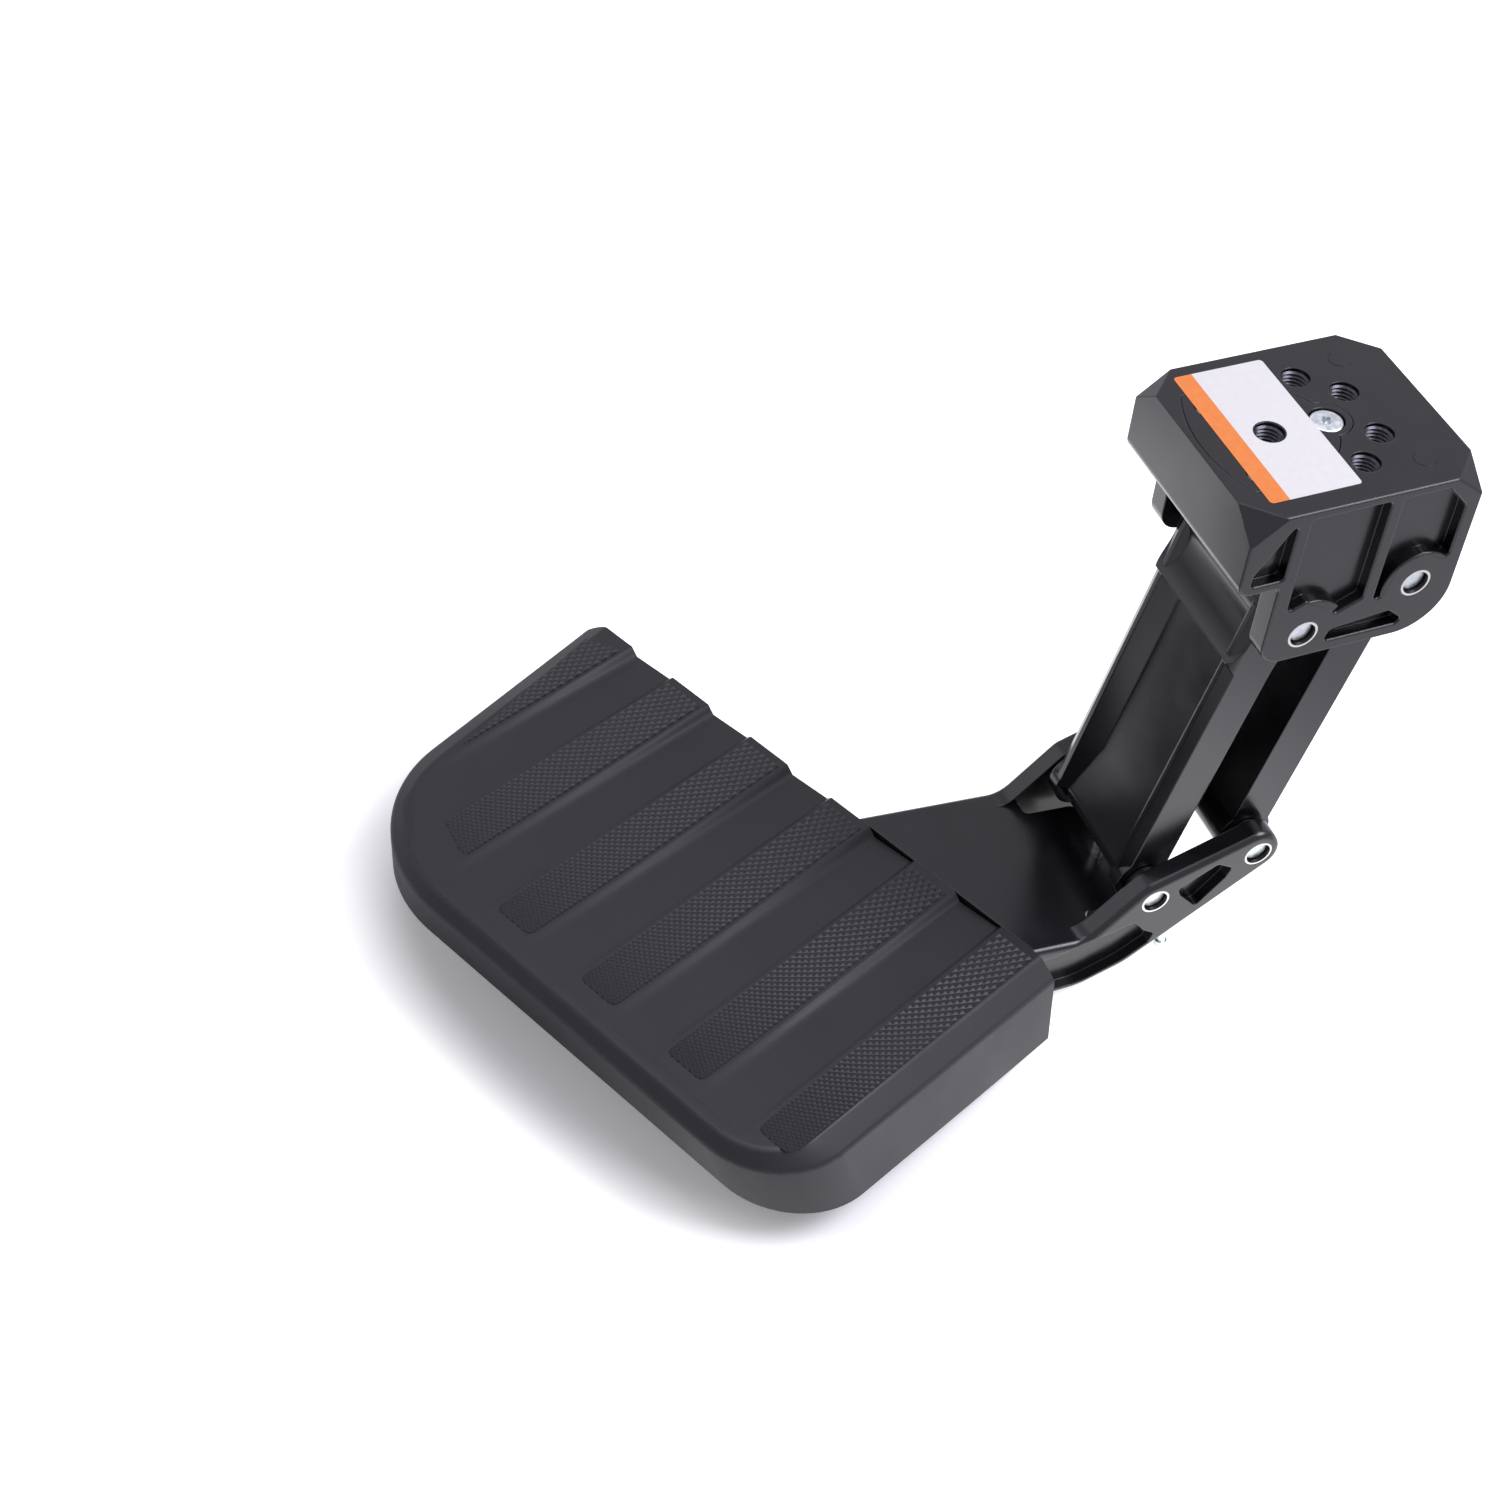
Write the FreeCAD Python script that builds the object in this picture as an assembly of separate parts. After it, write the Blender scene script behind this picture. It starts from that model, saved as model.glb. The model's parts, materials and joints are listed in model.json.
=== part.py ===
"""Retractable bumper step: a hinge head, two parallel links, a cast foot and a moulded tread.

Millimetres. X runs along the pivot pins, Y towards the vehicle and Z up. The origin lies on the
head's mounting face, on the spring's axis. The step is modelled swung out, ready to stand on.
"""
import FreeCAD, Part
import math
import os

# Linkage: a parallelogram, so that the tread stays level while it swings
link_length = 154.5
link_lean = 13.4
front_pivot_y = 4.2
front_pivot_drop = 66.3
pivot_gap = 47.6
pivot_rise = 14.2

# Pins and bushes
pin_radius = 5.5
pin_recess = 2.2
pin_chamfer = 0.8
bush_wall = 1.0
bush_flange_radius = 8.5
bush_flange = 3.0
end_play = 0.5
running_clearance = 0.05
open_pivot_clearance = 0.15
seat_clearance = 0.02

# Hinge head
head_width = 94.0
head_front = 32.0
head_rear = 70.0
corner_cut = 14.0
corner_drop = 11.0
top_thickness = 12.0
cheek_thickness = 10.0
end_wall = 7.0
end_wall_depth = 37.0
pivot_boss_radius = 12.7
cheek_front_margin = 17.7
cheek_rear_radius = 22.0
cheek_front_radius = 10.0
pocket_depth = 5.0
pocket_rim = 4.0
pocket_radius = 2.0
edge_bevel = 0.6

# Threaded mounting holes in the head's top face
thread_radius = 6.0
thread_boss_radius = 10.0
thread_boss_depth = 24.0
inner_hole_x = 13.3
inner_hole_y = 41.1
outer_hole_x = 26.9
outer_hole_y = 26.9

# Spring, plunger and the cap that retains them
spring_bore_radius = 20.0
spring_housing_wall = 6.0
spring_housing_depth = 36.0
cap_thickness = 8.0
cap_spigot = 4.0
cap_gap = 0.4
cap_disc_radius = 27.0
cap_lobe_radius = 10.0
cap_front_y = 29.5
cap_front_corner_x = 30.0
cap_front_corner_y = 22.5
cap_rear_screw_y = 25.4
cap_front_screw_x = 20.6
cap_front_screw_y = 13.6
cap_screw_radius = 3.0
cap_screw_head_radius = 7.0
cap_screw_head = 2.6
cap_screw_length = 20.0
drive_radius = 2.4
drive_depth = 1.8
seat_ring_thickness = 1.5
spring_wire = 4.4
spring_mean_radius = 13.6
spring_turns = 3.5
spring_steps = 12
plunger_skirt = 18.0
plunger_wall = 3.4
plunger_floor = 8.0
cam_base = 20.0
cam_lift_per_radian = 4.0
cam_gap = 0.3
cam_width = 24.0
swing_range = 85.0

# Link castings, with depths measured from the line between a link's pins
upper_eye_radius = 11.5
lower_eye_radius = 12.5
middle_eye_radius = 8.5
front_side_depth = 9.0
front_ridge_depth = 12.0
front_panel_depth = 4.0
front_web = 5.5
ridge_inner_x = 26.5
ridge_outer_x = 29.0
panel_half = 19.0
link_flange = 6.0
waist_depth = 9.2
waist_drop = 14.0
lip_depth = 13.2
lip_drop = 29.5
lip_thickness = 4.0
lip_corner = 4.0
fairing_rise = 30.0
rear_side_depth = 9.5
rear_web = 6.0

# Cast foot, with places measured from the lower front pivot
foot_wall = 10.0
foot_eye_radius = 10.5
foot_boss_radius = 12.0
foot_eye_slope = 30.0
foot_edge_round = 3.0
foot_crest_front = 30.0
foot_shoulder = 5.0
foot_shoulder_rise = 9.0
foot_belly = 8.0
foot_belly_drop = 40.0
foot_keel_front = 30.0
foot_keel = 48.0
foot_pocket_front = 46.0
foot_pocket_drop = 20.5
foot_pocket_rim = 3.6
deck_thickness = 8.0
deck_rear = 2.3
tongue_half = 30.0
tongue_root = 24.0
foot_end_wall = 8.0
deck_rib = 4.0
deck_rib_x = 16.0
deck_rib_depth = 22.0
pad_gap = 0.5

# Tread: its own frame is turned about Z and tipped up at the outer edge
pad_yaw = 26.0
pad_tilt = 5.8
pad_left_of_pivot = 61.5
pad_ahead_of_pivot = 108.2
pad_below_pivot = 7.7
pad_right = 133.0
pad_right_taper = 2.0
pad_left = 153.0
pad_left_taper = 21.5
pad_reach = 178.0
pad_inner_corner = 8.0
pad_crease_drop = 7.0
pad_right_corner = 40.0
pad_left_corner = 74.0
pad_left_foot_corner = 60.0
pad_shoulder = 10.0
pad_outer_shoulder = 4.0
pad_right_draft = 6.5
pad_splay = 5.0
pad_outer_tuck = 10.5
pad_inner_height = 41.0
pad_outer_height = 33.0
pad_crease_round = 5.0
pad_top_round = 4.0
pad_top_wall = 8.5
pad_skirt = 4.0
pad_rib = 3.0
pad_rib_depth = 11.0
band_pitch = 50.0
band_width = 23.0
band_count = 6
first_band_right = -125.5
groove_ramp = 4.0
groove_deep = 3.6
groove_shallow = 2.2
groove_rise = 2.0
groove_full_length = 140.0
groove_fade = 30.0

# The foot's arm under the tread and the screws that hold the tread on it
arm_left = 30.0
arm_right = 116.0
arm_setback = 66.0
arm_top = 20.0
arm_thickness = 10.0
arm_corner = 14.0
arm_margin = 16.0
window_clearance = 0.6
pad_boss_radius = 8.0
pad_screw_radius = 4.0
pad_screw_head_radius = 6.5
pad_screw_head = 5.0
pad_screw_bite = 9.0
pad_screw_socket = 3.4
pad_washer_radius = 9.0
pad_washer = 1.6

# Small screws of the foot
stop_screw_radius = 3.0
stop_screw_y = 1.6
stop_gap = 0.6
stop_screw_tail = 9.0
stop_nut_radius = 5.8
stop_nut_height = 5.0
lock_screw_radius = 2.0
lock_screw_y = 12.0
lock_screw_head_radius = 2.8
lock_screw_head = 3.0
lock_screw_drop = 36.0
lock_screw_bite = 22.0

# Places that follow from the sizes above
head_half = head_width / 2
cheek_inner = head_half - cheek_thickness
link_half = cheek_inner - bush_flange - end_play
bush_radius = pin_radius + running_clearance + bush_wall
lean = math.radians(link_lean)
pivot_a = (front_pivot_y, -front_pivot_drop)
pivot_b = (front_pivot_y + pivot_gap, -front_pivot_drop + pivot_rise)
link_drop = (-link_length * math.sin(lean), -link_length * math.cos(lean))
pivot_c = (pivot_a[0] + link_drop[0], pivot_a[1] + link_drop[1])
pivot_d = (pivot_b[0] + link_drop[0], pivot_b[1] + link_drop[1])
cheek_bottom = -front_pivot_drop - pivot_boss_radius
foot_inner = head_half - foot_wall
far = 4 * (head_width + link_length)


def vec(x, y, z):
    return FreeCAD.Vector(x, y, z)


def side_plane(x):
    """Gives the function that puts a (y, z) pair on the plane at x."""
    return lambda y, z: vec(x, y, z)


def plan_plane(z):
    """Gives the function that puts an (x, y) pair on the level plane at z."""
    return lambda x, y: vec(x, y, z)


def outline(corners, plane):
    """Closed wire through (a, b, radius) corners, with a tangent arc at each rounded one."""
    points = [FreeCAD.Vector(a, b, 0) for a, b, _ in corners]
    count = len(points)
    spans = []
    for i, (_, _, radius) in enumerate(corners):
        arriving = (points[i] - points[i - 1]).normalize()
        leaving = (points[(i + 1) % count] - points[i]).normalize()
        if radius == 0:
            spans.append((points[i], None, points[i]))
            continue
        half_turn = arriving.getAngle(leaving) / 2
        reach = radius * math.tan(half_turn)
        inward = (leaving - arriving).normalize()
        middle = points[i] + inward * (radius / math.cos(half_turn) - radius)
        spans.append((points[i] - arriving * reach, middle, points[i] + leaving * reach))
    edges = []
    for i, (start, middle, end) in enumerate(spans):
        if middle is not None:
            edges.append(Part.Arc(plane(start.x, start.y), plane(middle.x, middle.y),
                                  plane(end.x, end.y)).toShape())
        following = spans[(i + 1) % count][0]
        if (following - end).Length > 1e-6:
            edges.append(Part.makeLine(plane(end.x, end.y), plane(following.x, following.y)))
    return Part.Wire(edges)


def side_prism(corners, x_from, x_to):
    """Solid with a (y, z, radius) outline, running along X."""
    face = Part.Face(outline(corners, side_plane(x_from)))
    return face.extrude(vec(x_to - x_from, 0, 0))


def plan_prism(corners, z_from, z_to):
    """Solid with an (x, y, radius) outline, running along Z."""
    face = Part.Face(outline(corners, plan_plane(z_from)))
    return face.extrude(vec(0, 0, z_to - z_from))


def sharp(points):
    """Corners without rounding."""
    return [(a, b, 0) for a, b in points]


def box(x, y, z):
    """Box from three (low, high) pairs."""
    return Part.makeBox(x[1] - x[0], y[1] - y[0], z[1] - z[0], vec(x[0], y[0], z[0]))


def cross_rod(centre, radius, x_from, x_to):
    """Cylinder along X about a (y, z) centre."""
    return Part.makeCylinder(radius, x_to - x_from, vec(x_from, *centre), vec(1, 0, 0))


def post(x, y, radius, z_from, z_to):
    """Upright cylinder."""
    return Part.makeCylinder(radius, z_to - z_from, vec(x, y, z_from), vec(0, 0, 1))


def cone(x, y, radius_from, radius_to, z_from, z_to):
    """Upright cone frustum."""
    return Part.makeCone(radius_from, radius_to, z_to - z_from, vec(x, y, z_from), vec(0, 0, 1))


def joined(shapes):
    return shapes[0].multiFuse(shapes[1:]).removeSplitter()


def mirrored(shape):
    """The same shape on the other side of the linkage's middle plane."""
    return shape.mirror(vec(0, 0, 0), vec(1, 0, 0))


def both_sides(shape):
    return [shape, mirrored(shape)]


def hexagon(across_corners_radius, x, y):
    return [(x + across_corners_radius * math.cos(math.radians(60 * i)),
             y + across_corners_radius * math.sin(math.radians(60 * i))) for i in range(6)]


def placed_link(shape, pivot):
    """Leans a link that hangs straight down from the origin and moves it to its pivot."""
    shape = shape.copy()
    shape.rotate(vec(0, 0, 0), vec(1, 0, 0), -link_lean)
    shape.translate(vec(0, *pivot))
    return shape


pad_corner = vec(-pad_left_of_pivot, pivot_c[0] - pad_ahead_of_pivot, pivot_c[1] - pad_below_pivot)


def placed_pad(shape):
    """Moves a shape from the tread's frame, with its inner edge on y = 0, to its place."""
    shape = shape.copy()
    shape.rotate(vec(0, 0, 0), vec(0, 0, 1), pad_yaw)
    shape.rotate(vec(0, 0, 0), vec(1, 0, 0), -pad_tilt)
    shape.translate(pad_corner)
    return shape


def softened(casting):
    """Bevels the cast edges of the outer faces at both ends of X."""
    rims = [e for e in casting.Edges if e.BoundBox.XLength < 1e-6
            and abs(abs(e.BoundBox.XMin) - head_half) < 1e-6]
    return casting.makeChamfer(edge_bevel, rims)


def export(name, solids):
    shape = solids[0] if len(solids) == 1 else Part.makeCompound(solids)
    shape.exportStep("parts/" + name + ".step")


# Hinge head

def corner_wedge(x_sign, y_end, y_sign):
    """What the slanted facet takes off one top corner of the head."""
    corner = vec(x_sign * head_half, y_end, 0)
    on_side = corner - vec(0, y_sign * corner_cut, 0)
    on_end = corner - vec(x_sign * corner_cut, 0, 0)
    below = corner - vec(0, 0, corner_drop)
    normal = (on_side - below).cross(on_end - below).normalize()
    if normal.dot(corner - below) < 0:
        normal = -normal
    middle = (on_side + on_end + below) * (1 / 3)
    triangle = [middle + (p - middle) * 4 for p in (on_side, on_end, below)]
    face = Part.Face(Part.makePolygon(triangle + triangle[:1]))
    return face.extrude(normal * (2 * corner_cut))


def cheek_corners():
    rear = head_rear
    front = pivot_a[0] - cheek_front_margin
    return [(-head_front, 0, 0), (rear, 0, 0),
            (rear, cheek_bottom, cheek_rear_radius),
            (front, cheek_bottom, cheek_front_radius),
            (front, -end_wall_depth, 2),
            (-head_front, -end_wall_depth, 6)]


def cheek_pockets():
    """The three pockets and the long slot in a cheek's outer face."""
    rim = pocket_rim
    a_y, a_z = pivot_a
    b_y, b_z = pivot_b
    boss = pivot_boss_radius
    rib = a_y - boss
    front_floor = -end_wall_depth + rim
    rear_rib = a_y + pivot_gap / 2
    front_pocket = [(rib - rim, -rim, 1), (rib - rim, front_floor, pocket_radius),
                    (-head_front + 1.3 * rim, front_floor, pocket_radius),
                    (-head_front + 1.3 * rim, front_floor + 1.5 * rim, 1)]
    centre_pocket = [(rib + rim / 2, -rim, pocket_radius), (rear_rib, -rim, pocket_radius),
                     (rear_rib, a_z + boss, pocket_radius), (a_y + boss, a_z + 0.6 * boss, pocket_radius),
                     (a_y + 0.6 * boss, a_z + boss, pocket_radius),
                     (a_y - 0.2 * boss, a_z + 1.45 * boss, pocket_radius),
                     (rib + rim / 2, a_z + 1.1 * boss, pocket_radius)]
    rear = head_rear - 1.6 * rim
    rear_pocket = [(rear_rib + 1.4 * rim, -rim, pocket_radius),
                   (rear - corner_cut + rim, -rim, pocket_radius),
                   (rear, -corner_drop - rim, pocket_radius),
                   (rear, b_z + 0.75 * boss, pocket_radius), (b_y, b_z + 1.3 * boss, 6),
                   (b_y - 0.9 * boss, b_z + 0.9 * boss, 6), (b_y - 1.2 * boss, b_z - 0.3 * boss, 1.5),
                   (rear_rib + 1.4 * rim, b_z - 0.3 * boss, 1.5)]
    slot_low = cheek_bottom + 1.4 * rim
    slot = [(a_y + 0.85 * boss, slot_low, pocket_radius), (b_y + 0.1 * boss, slot_low, pocket_radius),
            (b_y - 0.7 * boss, b_z - boss, pocket_radius),
            (a_y + boss, slot_low + 1.5 * rim, pocket_radius)]
    return [front_pocket, centre_pocket, rear_pocket, slot]


def cap_plan(gap):
    """Plan of the cap, or of its recess when a gap is given: disc, rear lobe and bowed front."""
    disc = post(0, 0, cap_disc_radius + gap, -1, 0)
    lobe = post(0, cap_rear_screw_y, cap_lobe_radius + gap, -1, 0)
    neck = box((-cap_lobe_radius - gap, cap_lobe_radius + gap), (0, cap_rear_screw_y), (-1, 0))
    x = cap_front_corner_x + gap
    y = -cap_front_corner_y
    bow = Part.Arc(vec(-x, y, -1), vec(0, -cap_front_y - gap, -1), vec(x, y, -1)).toShape()
    sides = Part.makePolygon([vec(x, y, -1), vec(cap_disc_radius + gap, 0, -1),
                              vec(-cap_disc_radius - gap, 0, -1), vec(-x, y, -1)])
    front = Part.Face(Part.Wire([bow] + sides.Edges)).extrude(vec(0, 0, 1))
    return joined([disc, lobe, neck, front])


def cap_plate(gap, z_from, z_to):
    """The cap's plan as a solid between two levels."""
    plan = cap_plan(gap)
    underside = [f for f in plan.Faces if abs(f.BoundBox.ZMax + 1) < 1e-6][0]
    plate = underside.extrude(vec(0, 0, z_to - z_from))
    plate.translate(vec(0, 0, z_from + 1))
    return plate


cap_screw_places = [(0, cap_rear_screw_y), (cap_front_screw_x, -cap_front_screw_y),
                    (-cap_front_screw_x, -cap_front_screw_y)]
thread_places = [(inner_hole_x, inner_hole_y), (-inner_hole_x, inner_hole_y),
                 (outer_hole_x, outer_hole_y), (-outer_hole_x, outer_hole_y)]


def threaded_hole(x, y, z_top, z_bottom):
    """Tapped hole, open to the top so that a bolt's thread starts at the face."""
    return post(x, y, thread_radius, z_bottom, z_top)


def hinge_head():
    body = side_prism(cheek_corners(), -head_half, head_half)
    front_in = -head_front + end_wall
    rear_in = head_rear - end_wall
    open_below = sharp([(front_in, -top_thickness), (rear_in, -top_thickness), (rear_in, -end_wall_depth),
                        (rear_in + far, -end_wall_depth), (rear_in + far, -far), (front_in - far, -far),
                        (front_in - far, -end_wall_depth), (front_in, -end_wall_depth)])
    body = body.cut(side_prism(open_below, -cheek_inner, cheek_inner))
    wedges = [corner_wedge(x_sign, y_end, y_sign) for x_sign in (1, -1)
              for y_end, y_sign in ((-head_front, -1), (head_rear, 1))]
    body = body.cut(Part.makeCompound(wedges))
    pockets = [side_prism(corners, head_half - pocket_depth, head_half + 1) for corners in cheek_pockets()]
    body = body.cut(Part.makeCompound(pockets + [mirrored(p) for p in pockets]))
    body = softened(body)
    housing_radius = spring_bore_radius + spring_housing_wall
    housing = post(0, 0, housing_radius, -spring_housing_depth, -top_thickness)
    bosses = [post(x, y, thread_boss_radius, -thread_boss_depth, -top_thickness) for x, y in thread_places]
    bosses += [post(x, y, 2 * cap_screw_radius, -cap_thickness - cap_screw_length, -top_thickness)
               for x, y in cap_screw_places]
    body = joined([body, housing] + bosses)
    cuts = [post(0, 0, spring_bore_radius, -far, 0), cap_plate(cap_gap, -cap_thickness, 0)]
    cuts += [threaded_hole(x, y, 0, -thread_boss_depth) for x, y in thread_places]
    cuts += [post(x, y, cap_screw_radius + running_clearance, -cap_thickness - cap_screw_length + 2, 0)
             for x, y in cap_screw_places]
    cuts += [cross_rod(p, bush_radius + seat_clearance, -head_half - 1, head_half + 1)
             for p in (pivot_a, pivot_b)]
    return body.cut(Part.makeCompound(cuts))


def spring_cap():
    cap = cap_plate(0, -cap_thickness, 0)
    spigot = post(0, 0, spring_bore_radius - cap_gap, -cap_thickness - cap_spigot, -cap_thickness)
    cap = joined([cap, spigot])
    cuts = [threaded_hole(0, 0, 0, -cap_thickness - cap_spigot)]
    for x, y in cap_screw_places:
        cuts.append(post(x, y, cap_screw_radius + running_clearance, -cap_thickness, 0))
        cuts.append(post(x, y, cap_screw_head_radius + cap_gap, -cap_screw_head - cap_gap, 0))
    return cap.cut(Part.makeCompound(cuts))


def cap_screw(x, y):
    top = -cap_gap
    under_head = top - cap_screw_head
    bevel = cap_screw_head / 4
    head = post(x, y, cap_screw_head_radius, under_head, top - bevel).fuse(
        cone(x, y, cap_screw_head_radius, cap_screw_head_radius - bevel, top - bevel, top))
    shank = post(x, y, cap_screw_radius, under_head - cap_screw_length, under_head)
    socket = plan_prism(sharp(hexagon(drive_radius, x, y)), top - drive_depth, top)
    return joined([head, shank]).cut(socket)


cap_under = -cap_thickness - cap_spigot
seat_bottom = cap_under - seat_ring_thickness
plunger_bottom = pivot_a[1] + cam_base + cam_gap
cup_floor = plunger_bottom + plunger_floor


def spring_seat():
    outer = spring_mean_radius + spring_wire / 2
    inner = spring_mean_radius - spring_wire / 2
    return post(0, 0, outer, seat_bottom, cap_under).cut(post(0, 0, inner, seat_bottom, cap_under))


def coil_spring():
    """Compression spring between the seat ring and the plunger's floor."""
    wire = spring_wire / 2
    bottom = cup_floor + wire
    height = seat_bottom - wire - bottom
    steps = round(spring_turns * spring_steps)
    path = []
    for i in range(steps + 1):
        turn = 2 * math.pi * i / spring_steps
        path.append(vec(spring_mean_radius * math.cos(turn), spring_mean_radius * math.sin(turn),
                        bottom + height * i / steps))
    section = Part.Wire(Part.makeCircle(wire, path[0], path[1] - path[0]))
    return Part.makePolygon(path).makePipeShell([section], True, False, 1)


def plunger():
    radius = spring_bore_radius - running_clearance
    body = post(0, 0, radius, plunger_bottom, cup_floor + plunger_skirt)
    return body.cut(post(0, 0, radius - plunger_wall, cup_floor, cup_floor + plunger_skirt))


# Pins and bushes

def pin(pivot):
    end = head_half - pin_recess
    rod = cross_rod(pivot, pin_radius, -end, end)
    rims = [e for e in rod.Edges if abs(e.BoundBox.XMax - e.BoundBox.XMin) < 1e-6]
    return rod.makeChamfer(pin_chamfer, rims)


def bush_pair(pivot, inner, clearance):
    """Two flanged bushes, with their flanges between the wall and the link."""
    sleeve = cross_rod(pivot, bush_radius, inner, head_half)
    flange = cross_rod(pivot, bush_flange_radius, inner - bush_flange, inner)
    bore = cross_rod(pivot, pin_radius + clearance, 0, head_half + 1)
    return both_sides(joined([sleeve, flange]).cut(bore))


# Links

def bored(link, pivots):
    """Bores a placed link for its two pins."""
    bores = [cross_rod(p, pin_radius + seat_clearance, -head_half, head_half) for p in pivots]
    return link.cut(Part.makeCompound(bores))


def link_prism(half_section):
    """Extrudes a section, given as its +X half from front to back, from pivot to pivot."""
    other_half = [(-x, y) for x, y in reversed(half_section)]
    return plan_prism(sharp(half_section + other_half), -link_length, 0)


def cam():
    """Lobe on the front link's hub that lifts the plunger in step with the swing."""
    points = []
    for degrees in range(100, int(80 - swing_range), -10):
        turn = math.radians(degrees)
        reach = cam_base + cam_lift_per_radian * (math.pi / 2 - turn)
        y = reach * math.cos(turn) + cam_lift_per_radian * math.sin(turn)
        z = reach * math.sin(turn) - cam_lift_per_radian * math.cos(turn)
        points.append(vec(-cam_width / 2, pivot_a[0] + y, pivot_a[1] + z))
    flank = Part.BSplineCurve()
    flank.interpolate(points)
    centre = vec(-cam_width / 2, *pivot_a)
    wire = Part.Wire([flank.toShape(), Part.makeLine(points[-1], centre), Part.makeLine(centre, points[0])])
    return Part.Face(wire).extrude(vec(cam_width, 0, 0))


def link_lip():
    """The front link's hub, flaring forward to a lip over its panel."""
    hub = cross_rod((0, 0), upper_eye_radius, -link_half, link_half)
    plane = side_plane(-link_half)
    front = plane(-upper_eye_radius, 0)
    lip = plane(-lip_depth, -lip_drop)
    flare = Part.Arc(front, plane(-waist_depth, -waist_drop), lip).toShape()
    under = -lip_drop - lip_thickness
    rest = Part.makePolygon([lip, plane(-front_side_depth, under), plane(front_side_depth, under),
                             plane(upper_eye_radius, 0), front])
    skirt = Part.Face(Part.Wire([flare] + rest.Edges)).extrude(vec(2 * link_half, 0, 0))
    plan = plan_prism([(-link_half, -lip_depth, lip_corner), (link_half, -lip_depth, lip_corner),
                       (link_half, upper_eye_radius, 0), (-link_half, upper_eye_radius, 0)], under, 0)
    return joined([hub, skirt.common(plan)])


def front_link():
    flange_x = link_half - link_flange
    web_back = front_web - front_panel_depth
    beam = link_prism([(panel_half, -front_panel_depth), (ridge_inner_x, -front_ridge_depth),
                       (ridge_outer_x, -front_ridge_depth), (link_half, -front_side_depth),
                       (link_half, front_side_depth), (flange_x, front_side_depth),
                       (flange_x, web_back)])
    foot_eye = cross_rod((0, -link_length), lower_eye_radius, ridge_inner_x, link_half)
    middle_eye = cross_rod((0, -link_length), middle_eye_radius, -ridge_inner_x, ridge_inner_x)
    fairing_top = fairing_rise - link_length
    fairing = side_prism(sharp([(-front_panel_depth, fairing_top), (-middle_eye_radius, -link_length),
                                (0, -link_length), (0, fairing_top)]), -ridge_inner_x, ridge_inner_x)
    casting = joined([beam, link_lip(), middle_eye, fairing] + both_sides(foot_eye))
    return bored(joined([placed_link(casting, pivot_a), cam()]), (pivot_a, pivot_c))


def rear_link():
    flange_x = link_half - link_flange
    beam = link_prism([(link_half, -rear_side_depth), (link_half, rear_side_depth),
                       (flange_x, rear_side_depth), (flange_x, rear_web - rear_side_depth)])
    eyes = [cross_rod((0, z), lower_eye_radius, -link_half, link_half) for z in (0, -link_length)]
    return bored(placed_link(joined([beam] + eyes), pivot_b), (pivot_b, pivot_d))


# Foot

def in_pad_frame(x, y, z):
    """Box given in the tread's frame, moved to its place."""
    return placed_pad(box(x, y, z))


def foot_point(along, across):
    """Point from the lower front pivot, along the line to the rear one and square to it."""
    span = (pivot_d[0] - pivot_c[0], pivot_d[1] - pivot_c[1])
    length = math.hypot(*span)
    y = pivot_c[0] + along * span[0] - across * foot_boss_radius * span[1] / length
    z = pivot_c[1] + along * span[1] + across * foot_boss_radius * span[0] / length
    return (y, z, pocket_radius)


def deck_top(y):
    """Level of the deck at a distance along Y."""
    return pad_corner.z - pad_gap - math.tan(math.radians(pad_tilt)) * (y - pad_corner.y)


def foot_wall_corners():
    """Side view of a wall: level with the deck in front, then up over both pivots."""
    y, z = pivot_c
    slope = math.radians(foot_eye_slope)
    d_y, d_z = (foot_eye_radius * math.cos(slope), foot_eye_radius * math.sin(slope))
    crest = y - foot_crest_front
    return [(y - far, deck_top(y - far), 0), (crest, deck_top(crest), 12),
            (y - foot_shoulder, z + foot_shoulder_rise, foot_eye_radius),
            (pivot_d[0] + d_y - d_z, pivot_d[1] + d_z + d_y, foot_eye_radius),
            (pivot_d[0] + d_y + d_z, pivot_d[1] + d_z - d_y, foot_eye_radius),
            (y - foot_belly, z - foot_belly_drop, 30),
            (y - foot_keel_front, z - foot_keel, 30), (y - far, z - foot_keel, 0)]


def foot_side():
    """A wall with its outer edge rounded and its two pockets cut in."""
    y, z = pivot_c
    boss = foot_boss_radius
    rim = foot_pocket_rim
    long_pocket = [(y - far, z - foot_pocket_drop, 0), (y - foot_pocket_front, z - foot_pocket_drop, 10),
                   (y - 0.68 * boss, z - 0.92 * boss, pocket_radius),
                   (y - 0.22 * boss, z - 1.53 * boss, pocket_radius),
                   (y + 0.29 * boss, z - 1.9 * boss, pocket_radius),
                   (y + 0.1 * boss, z - 2.4 * boss, pocket_radius),
                   (y - foot_belly - rim / 2, z - foot_belly_drop + rim, 20),
                   (y - foot_keel_front, z - foot_keel + rim, 30), (y - far, z - foot_keel + rim, 0)]
    short_pocket = [foot_point(0.22, 0.11), foot_point(0.62, 0.5), foot_point(0.745, -0.1),
                    foot_point(0.67, -0.5), foot_point(0.35, -1.4), foot_point(0.23, -0.3)]
    wall = side_prism(foot_wall_corners(), foot_inner, head_half)
    rims = [e for e in wall.Edges if e.BoundBox.XMin > head_half - 1e-6 and e.BoundBox.YLength > 1e-6]
    wall = wall.makeFillet(foot_edge_round, rims)
    pockets = [side_prism(corners, head_half - pocket_depth, head_half + 1)
               for corners in (long_pocket, short_pocket)]
    return wall.cut(Part.makeCompound(pockets))


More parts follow.
